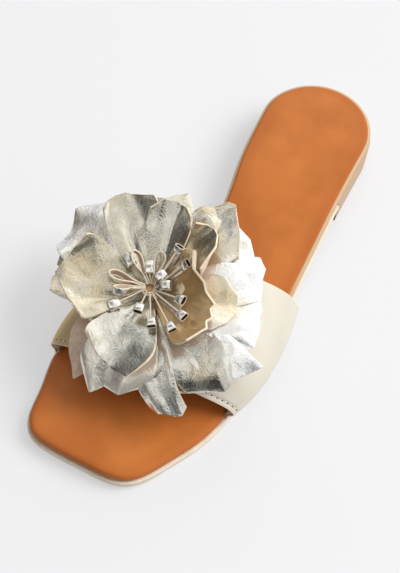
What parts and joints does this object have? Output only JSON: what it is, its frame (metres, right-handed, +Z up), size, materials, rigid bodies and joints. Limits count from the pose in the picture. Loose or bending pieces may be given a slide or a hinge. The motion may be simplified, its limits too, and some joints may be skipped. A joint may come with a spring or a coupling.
{
  "type": "flat slide sandal",
  "caption": "Flat slide sandal for the left foot: square toe, low stacked heel, padded tan footbed and one wide metallic strap that carries a big layered leather flower.",
  "frame": {"origin": "middle of the heel's floor face", "axes": "+Y to the toe, +X to the inner side of the foot, +Z up from the floor"},
  "size_m": [0.1179, 0.2445, 0.0623],
  "materials": {
    "beige_sole": "matte beige sole with a smooth edge",
    "stacked_heel": "taupe stack with fine level grain lines, satin",
    "tan_leather": "smooth tan leather, padded, soft sheen",
    "cream_metallic_leather": "smooth pale champagne metallic leather, satin",
    "platinum_leather": "crinkled platinum metallic leather with raw cream edges, glossy"
  },
  "bodies": {
    "root": {"outsole": "beige_sole", "heel": "stacked_heel", "insole": "tan_leather", "strap": "cream_metallic_leather", "petals_lower": "platinum_leather", "petals_upper": "platinum_leather", "stamens": "platinum_leather"}
  },
  "joints": []
}
